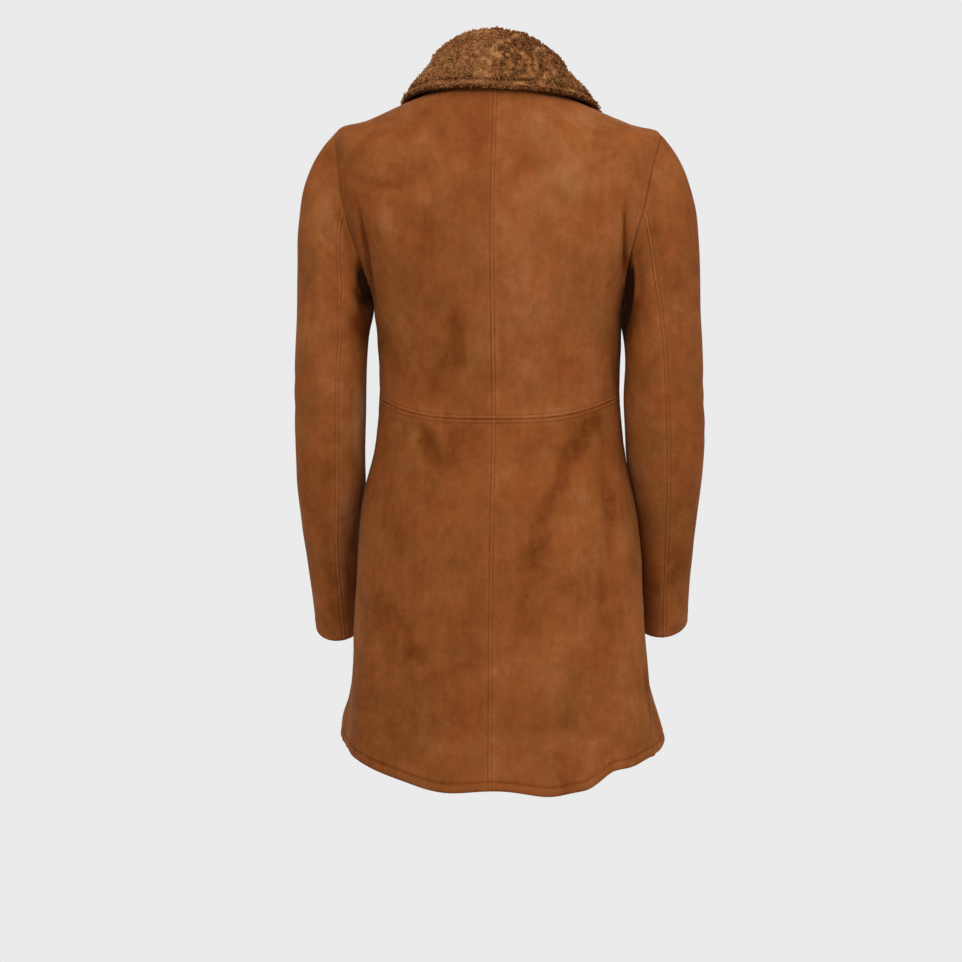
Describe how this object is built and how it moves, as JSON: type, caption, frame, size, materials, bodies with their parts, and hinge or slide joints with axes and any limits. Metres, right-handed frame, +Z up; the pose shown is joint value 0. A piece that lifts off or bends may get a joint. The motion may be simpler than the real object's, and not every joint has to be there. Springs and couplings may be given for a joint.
{
  "type": "shearling coat",
  "caption": "Thigh-length fitted coat of suede sheepskin, wool side in, with a turned-down wool collar, set-in sleeves, a back waist seam and a curved hem, in its worn form.",
  "frame": {"origin": "midway between the two points where the shoulder seams meet the neckline, where the wearer's shoulders carry the coat", "axes": "+Z up, +X to the wearer's left, and the front faces -Y"},
  "size_m": [0.5007, 0.3199, 0.9157],
  "materials": {
    "suede": "matt tan-brown suede with a soft uneven nap, fine ridges and stitching along the seams",
    "wool": "short dense curled golden-brown wool"
  },
  "bodies": {
    "root": {"back_bodice_left": "suede", "back_skirt_left": "suede", "front_left": "suede", "sleeve_top_left": "suede", "sleeve_under_left": "suede", "back_bodice_right": "suede", "back_skirt_right": "suede", "front_right": "suede", "sleeve_top_right": "suede", "sleeve_under_right": "suede", "collar": "wool"}
  },
  "joints": []
}
